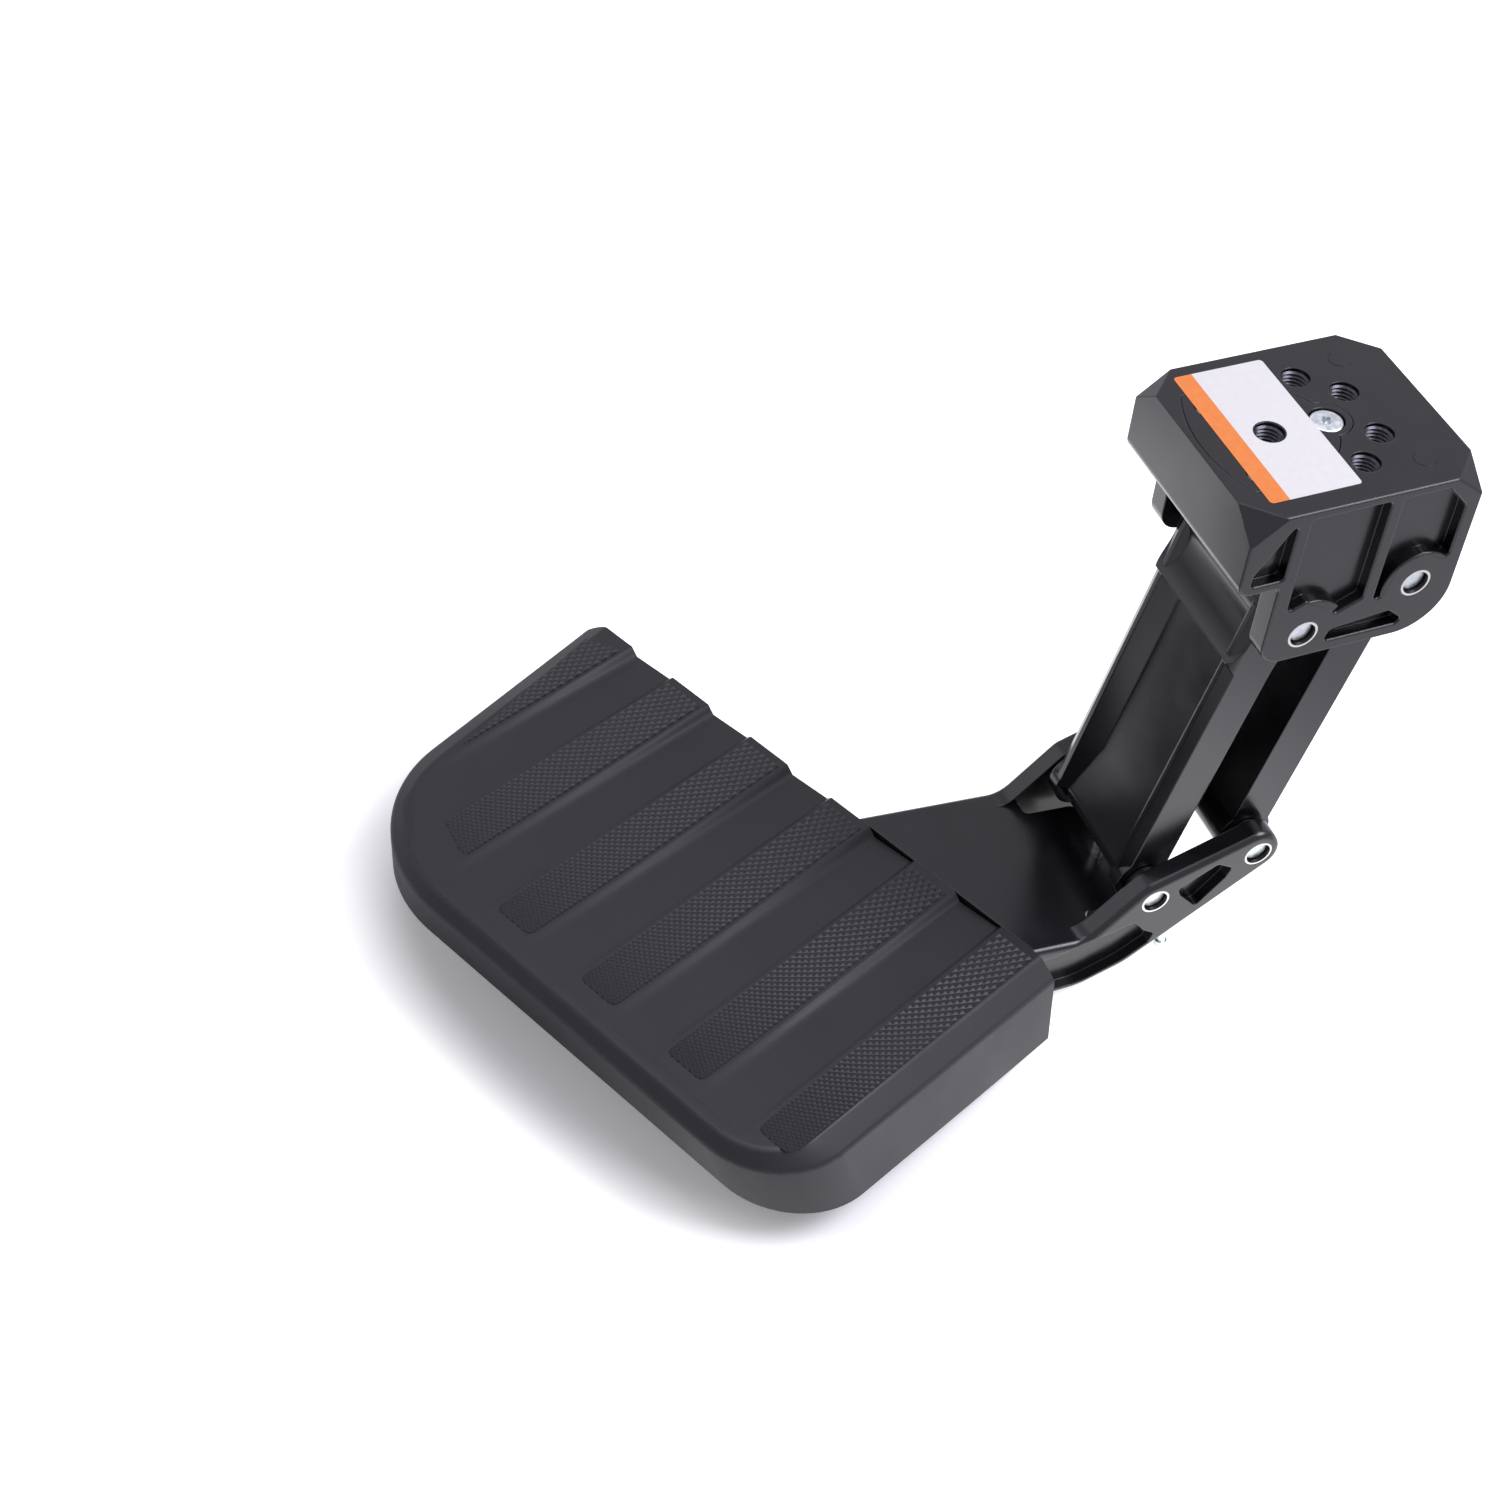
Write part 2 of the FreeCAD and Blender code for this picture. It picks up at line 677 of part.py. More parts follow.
stop_y = pivot_c[0] - stop_screw_y
stop_rise = pivot_c[1] - middle_eye_radius - stop_gap - deck_top(stop_y)
lock_x = foot_inner + foot_wall / 2
lock_y = pivot_c[0] + lock_screw_y
lock_seat = pivot_c[1] - lock_screw_drop
arm_reach = pad_reach - arm_setback
pad_screw_places = [(x, y) for x in (arm_left + arm_margin, arm_right - arm_margin)
                    for y in (-arm_margin - pad_skirt, -arm_reach + arm_margin)]
arm_under = -arm_top - arm_thickness


def placed_stop(shape):
    """Moves a shape standing on the origin to the stop screw's place on the deck."""
    shape = shape.copy()
    shape.rotate(vec(0, 0, 0), vec(1, 0, 0), -pad_tilt)
    shape.translate(vec(0, stop_y, deck_top(stop_y)))
    return shape


def step_foot():
    ahead = in_pad_frame((-far, far), (-far, pad_gap), (-far, far))
    walls = [side.cut(ahead) for side in both_sides(foot_side())]
    root = pivot_c[0] - tongue_root
    rear = pivot_c[0] + deck_rear
    low = pivot_c[1] - far
    high = pivot_c[1] + far
    deck_half = head_half - foot_wall / 2
    plan = plan_prism([(-deck_half, -far, 0), (deck_half, -far, 0), (deck_half, root, 0),
                       (tongue_half, root, 3), (tongue_half, rear, 4), (-tongue_half, rear, 4),
                       (-tongue_half, root, 3), (-deck_half, root, 0)], low, high)
    deck_under = -pad_gap - deck_thickness
    deck = in_pad_frame((-far, far), (pad_gap, far), (deck_under, -pad_gap)).common(plan)
    width = box((-deck_half, deck_half), (-far, far), (low, high))
    end_wall_block = in_pad_frame((-far, far), (pad_gap, pad_gap + foot_end_wall),
                                  (arm_under, -pad_gap)).common(width)
    rib = box((deck_rib_x - deck_rib / 2, deck_rib_x + deck_rib / 2), (-far, rear - deck_rib), (low, high))
    rib_slab = in_pad_frame((-far, far), (pad_gap, far), (deck_under - deck_rib_depth, -deck_thickness))
    ribs = [strip.common(rib_slab) for strip in both_sides(rib)]
    arm_inner = pad_gap + foot_end_wall
    arm = plan_prism([(arm_left, arm_inner, 0), (arm_right, arm_inner, 0),
                      (arm_right, -arm_reach, arm_corner), (arm_left, -arm_reach, arm_corner)],
                     arm_under, -arm_top)
    arm_holes = [post(x, y, pad_screw_radius + cap_gap, arm_under, -arm_top) for x, y in pad_screw_places]
    arm = placed_pad(arm.cut(Part.makeCompound(arm_holes)))
    foot = joined(walls + [deck, end_wall_block, arm] + ribs)
    cuts = [cross_rod(p, bush_radius + seat_clearance, -head_half - 1, head_half + 1)
            for p in (pivot_c, pivot_d)]
    cuts.append(placed_stop(post(0, 0, stop_screw_radius + running_clearance, -2 * deck_thickness, 1)))
    cuts.append(post(lock_x, lock_y, lock_screw_radius + running_clearance, lock_seat,
                     lock_seat + lock_screw_bite + 1))
    return foot.cut(Part.makeCompound(cuts))


def stop_screw():
    """Headless adjusting screw through the deck, under the front link's hub."""
    bevel = stop_screw_radius / 4
    stud = post(0, 0, stop_screw_radius, -deck_thickness - stop_screw_tail, stop_rise)
    rims = [e for e in stud.Edges if e.BoundBox.ZLength < 1e-6]
    hexagonal = sharp(hexagon(stop_screw_radius / 2, 0, 0))
    socket = plan_prism(hexagonal, stop_rise - stop_screw_radius, stop_rise)
    return placed_stop(stud.makeChamfer(bevel, rims).cut(socket))


def stop_nut():
    seat = -deck_thickness - seat_clearance
    block = plan_prism(sharp(hexagon(stop_nut_radius, 0, 0)), seat - stop_nut_height, seat)
    return placed_stop(block.cut(post(0, 0, stop_screw_radius + running_clearance, -far, far)))


def bush_lock_screw():
    head = post(lock_x, lock_y, lock_screw_head_radius, lock_seat - lock_screw_head, lock_seat)
    shank = post(lock_x, lock_y, lock_screw_radius, lock_seat, lock_seat + lock_screw_bite)
    socket = plan_prism(sharp(hexagon(0.8 * lock_screw_radius, lock_x, lock_y)),
                        lock_seat - lock_screw_head, lock_seat - lock_screw_head / 2)
    return joined([head, shank]).cut(socket)


# Tread, in its own frame until it is placed

def pad_outline(z, inner, right, left, outer, right_radius, left_radius, splay=0):
    """Plan of the tread at its widest, drawn in by the given amounts and with its own corners."""
    far_x = pad_right - pad_right_taper - right + splay
    return outline([(-pad_left + left, -inner, 0), (pad_right - right, -inner, 0),
                    (far_x, -pad_reach + outer, right_radius),
                    (-pad_left + pad_left_taper + left, -pad_reach + outer, left_radius)], plan_plane(z))


def groove(right_end):
    """Sloped groove after a band, fading out towards the tread's outer edge."""
    width = band_pitch - band_width
    sections = []
    for y, sink, lift in ((1, 1, 0), (-groove_full_length, 1, 0),
                          (-groove_full_length - groove_fade, 0, 0.3)):
        points = [(right_end, lift), (right_end + groove_ramp, lift - sink * groove_deep),
                  (right_end + width - groove_rise, lift - sink * groove_shallow),
                  (right_end + width, lift), (right_end + width, 2), (right_end, 2)]
        wire = [vec(x, y, z) for x, z in points]
        sections.append(Part.makePolygon(wire + wire[:1]))
    return Part.makeLoft(sections, True, True)


def pad_shell():
    """Outside of the tread: a shouldered top over a drafted skirt, with a sloping underside."""
    widest = pad_outline(-pad_crease_drop, 0, 0, 0, 0, pad_right_corner, pad_left_corner)
    top = pad_outline(0, 0, pad_shoulder, pad_shoulder, pad_outer_shoulder,
                      pad_right_corner - pad_shoulder, pad_left_corner - pad_shoulder)
    foot = pad_outline(-pad_inner_height, 0, -pad_right_draft, 0, pad_outer_tuck,
                       pad_right_corner, pad_left_foot_corner, pad_splay)
    body = joined([Part.makeLoft([widest, top], True, True), Part.makeLoft([foot, widest], True, True)])
    for level, radius in ((-pad_crease_drop, pad_crease_round), (0, pad_top_round)):
        rims = [e for e in body.Edges if e.BoundBox.ZLength < 1e-6 and e.BoundBox.YMin < -1
                and abs(e.BoundBox.ZMax - level) < 1e-6]
        body = body.makeFillet(radius, rims)
    fall = [(1, -pad_inner_height, 0), (-pad_reach - 1, -pad_outer_height, 0), (-pad_reach - 1, -far, 0),
            (1, -far, 0)]
    corner_x = -pad_left + pad_inner_corner
    corner = box((-far, corner_x), (-pad_inner_corner, far), (-far, far)).cut(
        post(corner_x, -pad_inner_corner, pad_inner_corner, -far, far))
    return body.cut(Part.makeCompound([side_prism(fall, -far, far), corner]))


def pad_cavity():
    """Hollow underside of the tread, open below."""
    wall = pad_skirt + pad_crease_round / 2
    ceiling = pad_outline(-pad_top_wall, pad_skirt, wall, wall, wall,
                          pad_right_corner - wall, pad_left_corner - wall)
    mouth = pad_outline(-pad_inner_height - 1, pad_skirt, pad_skirt - pad_right_draft, pad_skirt,
                        pad_outer_tuck + pad_skirt, pad_right_corner - pad_skirt,
                        pad_left_foot_corner - pad_skirt, pad_splay)
    return Part.makeLoft([mouth, ceiling], True, True)


def step_pad():
    block = pad_shell()
    cavity = pad_cavity()
    shell = block.cut(cavity)
    rib_low = -pad_top_wall - pad_rib_depth
    rib_high = -pad_top_wall + 0.5
    ribs = []
    for n in range(band_count):
        x = first_band_right + n * band_pitch - band_width / 2
        ribs.append(box((x - pad_rib / 2, x + pad_rib / 2), (-far, 0), (rib_low, rib_high)))
    for share in (1 / 3, 2 / 3):
        y = -share * pad_reach
        ribs.append(box((-far, far), (y - pad_rib / 2, y + pad_rib / 2), (rib_low, rib_high)))
    room = cavity.fuse(box((-far, far), (-far, far), (-pad_top_wall, rib_high)).common(block))
    ribs = [rib.common(room) for rib in ribs]
    bosses = [post(x, y, pad_boss_radius, -arm_top, rib_high) for x, y in pad_screw_places]
    pad = joined([shell] + ribs + bosses)
    cuts = [groove(first_band_right + n * band_pitch) for n in range(band_count - 1)]
    cuts += [post(x, y, pad_screw_radius + running_clearance, -arm_top, -arm_top + pad_screw_bite + 1)
             for x, y in pad_screw_places]
    cuts.append(box((arm_left - window_clearance, arm_right + window_clearance), (-pad_skirt - 1, 1),
                    (-far, -arm_top + window_clearance)))
    return placed_pad(pad.cut(Part.makeCompound(cuts)))


def pad_screw(x, y):
    seat = arm_under - pad_washer
    head = post(x, y, pad_screw_head_radius, seat - pad_screw_head, seat)
    shank = post(x, y, pad_screw_radius, seat, -arm_top + pad_screw_bite)
    hexagonal = sharp(hexagon(pad_screw_socket, x, y))
    socket = plan_prism(hexagonal, seat - pad_screw_head, seat - pad_screw_head / 2)
    return placed_pad(joined([head, shank]).cut(socket))


def pad_washer_ring(x, y):
    ring = post(x, y, pad_washer_radius, arm_under - pad_washer, arm_under)
    return placed_pad(ring.cut(post(x, y, pad_screw_radius + cap_gap, -far, 0)))


os.makedirs("parts", exist_ok=True)
export("hinge_head", [hinge_head()])
export("spring_cap", [spring_cap()])
export("cap_screws", [cap_screw(x, y) for x, y in cap_screw_places])
export("spring_seat", [spring_seat()])
export("coil_spring", [coil_spring()])
export("plunger", [plunger()])
export("head_front_bushes", bush_pair(pivot_a, cheek_inner, running_clearance))
export("head_rear_bushes", bush_pair(pivot_b, cheek_inner, running_clearance))
export("front_link", [front_link()])
export("upper_front_pin", [pin(pivot_a)])
export("lower_front_pin", [pin(pivot_c)])
export("rear_link", [rear_link()])
export("upper_rear_pin", [pin(pivot_b)])
export("lower_rear_pin", [pin(pivot_d)])
export("step_foot", [step_foot()])
export("foot_front_bushes", bush_pair(pivot_c, foot_inner, running_clearance))
export("foot_rear_bushes", bush_pair(pivot_d, foot_inner, open_pivot_clearance))
export("step_pad", [step_pad()])
export("pad_screws", [pad_screw(x, y) for x, y in pad_screw_places])
export("pad_washers", [pad_washer_ring(x, y) for x, y in pad_screw_places])
export("stop_screw", [stop_screw()])
export("stop_nut", [stop_nut()])
export("bush_lock_screw", [bush_lock_screw()])
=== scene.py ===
# %% [markdown]
# # A fold-away bumper step
#
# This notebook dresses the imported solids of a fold-away vehicle step. The step has a die-cast head that
# bolts under the bumper, two links, a foot and a moulded tread. The solids already have the right shape and
# move on their own bodies, so the lesson is mostly about surface: coatings, knurling, threads and light.
#
# We start by loading the solids as a fixed frame and by noting the box that they fill. Every new piece has
# to stay in that box, so the numbers are kept until the end.

# %% Load the frame
import json
import math

import bmesh
import bpy
from mathutils import Matrix, Vector


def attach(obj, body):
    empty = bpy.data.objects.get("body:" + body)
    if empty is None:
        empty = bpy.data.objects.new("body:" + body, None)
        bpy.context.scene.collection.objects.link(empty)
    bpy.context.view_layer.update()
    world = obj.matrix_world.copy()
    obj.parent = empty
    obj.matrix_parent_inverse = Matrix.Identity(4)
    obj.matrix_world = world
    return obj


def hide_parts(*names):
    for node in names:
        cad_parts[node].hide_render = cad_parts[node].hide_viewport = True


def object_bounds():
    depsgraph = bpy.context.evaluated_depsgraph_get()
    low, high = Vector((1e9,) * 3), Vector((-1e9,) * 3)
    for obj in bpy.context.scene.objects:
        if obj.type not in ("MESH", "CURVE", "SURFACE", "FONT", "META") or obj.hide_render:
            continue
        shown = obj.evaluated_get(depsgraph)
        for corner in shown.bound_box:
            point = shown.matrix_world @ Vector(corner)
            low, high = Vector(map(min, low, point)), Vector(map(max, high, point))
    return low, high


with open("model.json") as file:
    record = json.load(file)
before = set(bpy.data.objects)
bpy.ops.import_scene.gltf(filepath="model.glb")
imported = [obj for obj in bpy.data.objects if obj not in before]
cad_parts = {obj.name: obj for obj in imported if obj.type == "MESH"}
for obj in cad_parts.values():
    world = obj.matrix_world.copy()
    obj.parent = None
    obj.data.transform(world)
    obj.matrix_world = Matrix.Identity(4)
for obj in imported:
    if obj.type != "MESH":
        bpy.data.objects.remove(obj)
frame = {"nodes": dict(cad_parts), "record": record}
cad_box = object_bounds()
nodes = frame["nodes"]
print("solids:", len(nodes), "box in mm:", [round(1000 * v, 1) for corner in cad_box for v in corner])

# %% [markdown]
# ## Working in millimetres
#
# Blender counts in metres here, while every size of the step is a few millimetres. One constant keeps the
# numbers readable: a length is written in millimetres and multiplied by MM.

# %% Millimetres and the scene's view
MM = 0.001
scene = bpy.context.scene
scene.view_settings.view_transform = "Standard"
print("one millimetre is", MM, "metres")

# %% [markdown]
# ## The camera
#
# The photograph was taken from the step's right, in front and above. Its perspective was worked out from
# the square edges of the head and the even pitch of the tread's bands, which gives the camera's place and
# its three directions. A camera in Blender looks along its own minus Z, with Y up.

# %% Camera
camera_data = bpy.data.cameras.new("studio_camera")
camera_data.sensor_width = 36.0
camera_data.sensor_fit = "HORIZONTAL"
camera_data.lens = 58.455
camera_data.clip_end = 20.0
camera = bpy.data.objects.new("studio_camera", camera_data)
scene.collection.objects.link(camera)
camera_right = Vector((0.35928, 0.93176, 0.05234))
camera_up = Vector((-0.69282, 0.22873, 0.68387))
camera_back = Vector((0.62523, -0.28196, 0.72773))
camera_place = Vector((598.07, -477.92, 587.15)) * MM
camera_turn = Matrix((camera_right, camera_up, camera_back)).transposed()
camera.matrix_world = Matrix.Translation(camera_place) @ camera_turn.to_4x4()
scene.camera = camera
print("camera at", [round(v, 3) for v in camera.location], "lens", round(camera_data.lens, 2), "mm")

# %% [markdown]
# ## Colours and nodes
#
# Colours are given as sRGB hex values, but shaders count in linear light, so one function converts them. A
# second small function adds any shader node: it takes the node's type, values for its sockets, and links
# from other nodes. With those two, each material below is a short list of nodes.

# %% Two helpers for materials
def linear(hex_colour):
    """An sRGB hex colour as linear red, green, blue and an alpha of one."""
    values = [int(hex_colour[i:i + 2], 16) / 255 for i in (1, 3, 5)]
    return [v / 12.92 if v <= 0.04045 else ((v + 0.055) / 1.055) ** 2.4 for v in values] + [1.0]


def add_node(material, kind, sockets=None, links=None, **settings):
    """One node with its settings, socket values and incoming links; links maps a socket to an output."""
    node = material.node_tree.nodes.new(kind)
    for name, value in settings.items():
        setattr(node, name, value)
    for name, value in (sockets or {}).items():
        node.inputs[name].default_value = value
    for name, output in (links or {}).items():
        material.node_tree.links.new(output, node.inputs[name])
    return node


def start_material(name):
    """An empty node material with its Principled shader, output and object coordinates."""
    material = bpy.data.materials.new(name)
    material.use_nodes = True
    material.node_tree.nodes.clear()
    shader = add_node(material, "ShaderNodeBsdfPrincipled")
    add_node(material, "ShaderNodeOutputMaterial", links={"Surface": shader.outputs["BSDF"]})
    place = add_node(material, "ShaderNodeTexCoord").outputs["Object"]
    return material, shader, place


print("charcoal in linear light:", [round(v, 4) for v in linear("#2b2b30")])

# %% [markdown]
# ## Powder-coated aluminium
#
# The head, links and foot are aluminium die castings under a satin black powder coat. Powder melts into a
# skin that never levels out fully, which gives the eye two things: a very slight orange peel that breaks up
# reflections, and soft cloudy changes of gloss. Real orange peel is about a millimetre across. It is drawn
# at 1.4 mm so that it still shows in a small render. Noise over the object's own coordinates does both.
#
# A casting has no knife edges, and the coat rounds them further. The Bevel node bends the shading over the
# last millimetre before an edge, so each edge catches a thin line of light as it does in the photograph.

# %% Powder-coated casting
gloss_cloud = 22
peel_width = 1.4
edge_round = 0.9
powder_coat, shader, place = start_material("powder_coated_casting")
cloud = add_node(powder_coat, "ShaderNodeTexNoise", {"Scale": 1 / (gloss_cloud * MM), "Detail": 3.0},
                 {"Vector": place})
peel = add_node(powder_coat, "ShaderNodeTexNoise", {"Scale": 1 / (peel_width * MM), "Detail": 2.0},
                {"Vector": place})
tint = add_node(powder_coat, "ShaderNodeValToRGB", links={"Fac": cloud.outputs["Fac"]})
tint.color_ramp.elements[0].position = 0.3
tint.color_ramp.elements[0].color = linear("#0b0b0e")
tint.color_ramp.elements[1].position = 0.7
tint.color_ramp.elements[1].color = linear("#101014")
gloss = add_node(powder_coat, "ShaderNodeMapRange",
                 {"From Min": 0.3, "From Max": 0.7, "To Min": 0.20, "To Max": 0.27},
                 {"Value": cloud.outputs["Fac"]})
soft_edge = add_node(powder_coat, "ShaderNodeBevel", {"Radius": edge_round * MM}, samples=6)
skin = add_node(powder_coat, "ShaderNodeBump", {"Strength": 0.12, "Distance": 0.1 * MM},
                {"Height": peel.outputs["Fac"], "Normal": soft_edge.outputs["Normal"]})
powder_coat.node_tree.links.new(tint.outputs["Color"], shader.inputs["Base Color"])
powder_coat.node_tree.links.new(gloss.outputs["Result"], shader.inputs["Roughness"])
powder_coat.node_tree.links.new(skin.outputs["Normal"], shader.inputs["Normal"])
shader.inputs["IOR"].default_value = 1.5
print("made", powder_coat.name)

# %% [markdown]
# ## Moulded charcoal tread
#
# The tread is a glass-filled polypropylene moulding with a spark-eroded grain: matte, a little greyer than
# the castings, with a fine pebble that scatters light. The grain of the tool is about half a millimetre. It
# is drawn at 0.9 mm. Where shoes and hands rub, the matte skin shines up a little, so the roughness follows
# a broad cloud as well.

# %% Moulded tread plastic
rub_cloud = 45
grain_width = 0.9
tread_plastic, shader, place = start_material("moulded_charcoal_polypropylene")
rub = add_node(tread_plastic, "ShaderNodeTexNoise", {"Scale": 1 / (rub_cloud * MM), "Detail": 4.0},
               {"Vector": place})
grain = add_node(tread_plastic, "ShaderNodeTexVoronoi", {"Scale": 1 / (grain_width * MM)},
                 {"Vector": place}, feature="SMOOTH_F1")
tint = add_node(tread_plastic, "ShaderNodeValToRGB", links={"Fac": rub.outputs["Fac"]})
tint.color_ramp.elements[0].position = 0.3
tint.color_ramp.elements[0].color = linear("#131317")
tint.color_ramp.elements[1].position = 0.7
tint.color_ramp.elements[1].color = linear("#18181c")
gloss = add_node(tread_plastic, "ShaderNodeMapRange",
                 {"From Min": 0.3, "From Max": 0.7, "To Min": 0.42, "To Max": 0.52},
                 {"Value": rub.outputs["Fac"]})
pebble = add_node(tread_plastic, "ShaderNodeBump", {"Strength": 0.15, "Distance": 0.15 * MM},
                  {"Height": grain.outputs["Distance"]})
tread_plastic.node_tree.links.new(tint.outputs["Color"], shader.inputs["Base Color"])
tread_plastic.node_tree.links.new(gloss.outputs["Result"], shader.inputs["Roughness"])
tread_plastic.node_tree.links.new(pebble.outputs["Normal"], shader.inputs["Normal"])
shader.inputs["IOR"].default_value = 1.49
shader.inputs["Specular IOR Level"].default_value = 0.4
print("made", tread_plastic.name)

# %% [markdown]
# ## Bare metals
#
# The pins and screws are zinc plated: a pale, slightly blue metal with a soft crystalline cloud. The spring
# and its plunger are oiled dark steel. They differ only in colour and gloss, so one recipe with two sets of
# numbers makes both.

# %% Zinc and spring steel
def bare_metal(name, dark, light, smooth, rough, cloud_size):
    """A metal whose colour and gloss drift between two values in clouds of that size in millimetres."""
    material, shader, place = start_material(name)
    cloud = add_node(material, "ShaderNodeTexNoise", {"Scale": 1 / (cloud_size * MM), "Detail": 5.0},
                     {"Vector": place})
    tint = add_node(material, "ShaderNodeValToRGB", links={"Fac": cloud.outputs["Fac"]})
    tint.color_ramp.elements[0].position = 0.35
    tint.color_ramp.elements[0].color = linear(dark)
    tint.color_ramp.elements[1].position = 0.65
    tint.color_ramp.elements[1].color = linear(light)
    gloss = add_node(material, "ShaderNodeMapRange",
                     {"From Min": 0.3, "From Max": 0.7, "To Min": smooth, "To Max": rough},
                     {"Value": cloud.outputs["Fac"]})
    material.node_tree.links.new(tint.outputs["Color"], shader.inputs["Base Color"])
    material.node_tree.links.new(gloss.outputs["Result"], shader.inputs["Roughness"])
    shader.inputs["Metallic"].default_value = 1.0
    return material


zinc = bare_metal("zinc_plated_steel", "#c3c9cc", "#dde3e4", 0.28, 0.42, 2.5)
oiled_steel = bare_metal("oiled_spring_steel", "#39393b", "#4c4c4f", 0.35, 0.5, 3.0)
print("made", zinc.name, oiled_steel.name)

# %% [markdown]
# The bushes are steel: the turned ends are bright and everything that runs round the pin is dark. An end
# faces along the pin, which is the X axis, so the size of the normal's X part tells the two apart.

# %% Bush with a dark bore
turning_marks = 1.2
end_facing = 0.7
bush_dark_bore, shader, place = start_material("steel_bush_dark_bore")
facing = add_node(bush_dark_bore, "ShaderNodeSeparateXYZ", {},
                  {"Vector": add_node(bush_dark_bore, "ShaderNodeTexCoord").outputs["Normal"]})
size = add_node(bush_dark_bore, "ShaderNodeMath", {}, {0: facing.outputs["X"]}, operation="ABSOLUTE")
is_end = add_node(bush_dark_bore, "ShaderNodeMath", {1: end_facing}, {0: size.outputs[0]},
                  operation="GREATER_THAN")
turning = add_node(bush_dark_bore, "ShaderNodeTexNoise", {"Scale": 1 / (turning_marks * MM), "Detail": 4.0},
                   {"Vector": place})
steel = add_node(bush_dark_bore, "ShaderNodeValToRGB", links={"Fac": turning.outputs["Fac"]})
steel.color_ramp.elements[0].color = linear("#bdbbb5")
steel.color_ramp.elements[1].color = linear("#dedcd6")
tint = add_node(bush_dark_bore, "ShaderNodeMix", {"A": linear("#141416")},
                {"Factor": is_end.outputs[0], "B": steel.outputs["Color"]}, data_type="RGBA")
bush_dark_bore.node_tree.links.new(tint.outputs["Result"], shader.inputs["Base Color"])
bush_dark_bore.node_tree.links.new(is_end.outputs[0], shader.inputs["Metallic"])
shader.inputs["Roughness"].default_value = 0.3
print("made", bush_dark_bore.name)

# %% [markdown]
# ## Dress the solids
#
# Each solid takes the finish of its slot. The solids are loose triangles, so a curved casting would show
# its facets. A Weld modifier joins the triangles, an Edge Split keeps the sharp corners sharp, and Weighted
# Normal lets the large flat faces stay flat. The mesh itself isn't touched.

# %% Finishes on the solids
finish_of_slot = {"cast_black": powder_coat, "tread": tread_plastic, "zinc": zinc,
                  "bush": bush_dark_bore, "spring": oiled_steel}
slot_of_node = {part["node"]: part["material_slot"] for part in frame["record"]["subparts"]}
weld_gap = 0.002
facet_angle = 22


def round_shading(piece, degrees):
    """Smooth shading with corners sharper than the angle kept crisp."""
    piece.data.polygons.foreach_set("use_smooth", [True] * len(piece.data.polygons))
    weld = piece.modifiers.new("weld", "WELD")
    weld.merge_threshold = weld_gap * MM
    split = piece.modifiers.new("split", "EDGE_SPLIT")
    split.split_angle = math.radians(degrees)
    split.use_edge_sharp = False
    flat = piece.modifiers.new("flat", "WEIGHTED_NORMAL")
    flat.weight = 80


for name, node in nodes.items():
    node.data.materials.clear()
    node.data.materials.append(finish_of_slot[slot_of_node[name]])
    round_shading(node, facet_angle)
print("dressed", len(nodes), "solids in", len(finish_of_slot), "finishes")

# %% [markdown]
# ## From a bmesh to a piece
#
# Every new piece follows the same last steps: write the bmesh to a mesh, give it a finish, and let it ride
# on the body that carries it. Its place stays in its vertices, so the object itself sits at the origin. An
# operator hands back vertices, edges and faces in one list, so a second helper picks the vertices out.

# %% Two helpers for pieces
def verts_of(geometry):
    """The vertices among what an operator made."""
    return [element for element in geometry if isinstance(element, bmesh.types.BMVert)]


def finish_piece(name, bm, materials, body, smooth_angle=None):
    """Writes the bmesh to an object in the row frame and rides it on its body."""
    mesh = bpy.data.meshes.new(name)
    bm.to_mesh(mesh)
    bm.free()
    piece = bpy.data.objects.new(name, mesh)
    scene.collection.objects.link(piece)
    for material in materials:
        mesh.materials.append(material)
    if smooth_angle:
        round_shading(piece, smooth_angle)
    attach(piece, body)
    print(name, "has", len(mesh.polygons), "faces and rides on", body)
    return piece


# %% [markdown]
# ## Knurling on the tread's bands
#
# Each raised band of the tread carries a field of small raised diamonds for grip. They are as wide all along
# the band, but they get longer towards the inner edge: about 2 mm at the outer end and over 6 mm at the
# inner one. Separate pyramids would do, but there is a neater way. In a grid whose vertices alternate like
# a chess board between peak and valley, and whose squares are split from valley to valley, every peak is
# the tip of a diamond. So a grid is laid on the band, its rows are spaced in growing steps, and every
# second vertex is lifted. At the border the field ends in a small upright wall.

# %% The tread's own frame and the sizes of the knurl
tread_origin = Vector((-61.5, -139.805, -224.294)) * MM
tread_turn = Matrix(((0.89879, -0.43837, 0.0), (0.43613, 0.89419, 0.10106), (-0.04430, -0.09083, 0.99488)))
on_tread = Matrix.Translation(tread_origin) @ tread_turn.to_4x4()
band_pitch = 50.0
first_band_right = -125.5
field_margin = 1.7
diamond_width = 3.333
diamond_height = 0.55
field_inner = -4.5
field_outer = -160.7
longest_diamond = 6.4
shortest_diamond = 1.9
valley_height = 0.03
field_sunk = -0.1


def row_places():
    """Distances along the band, from the inner end, where the rows of peaks and valleys lie."""
    rows = [field_inner]
    while rows[-1] > field_outer:
        share = (rows[-1] - field_inner) / (field_outer - field_inner)
        rows.append(rows[-1] - (longest_diamond + share * (shortest_diamond - longest_diamond)) / 2)
    return rows


knurl_rows = row_places()
print("rows of half diamonds along a band:", len(knurl_rows))

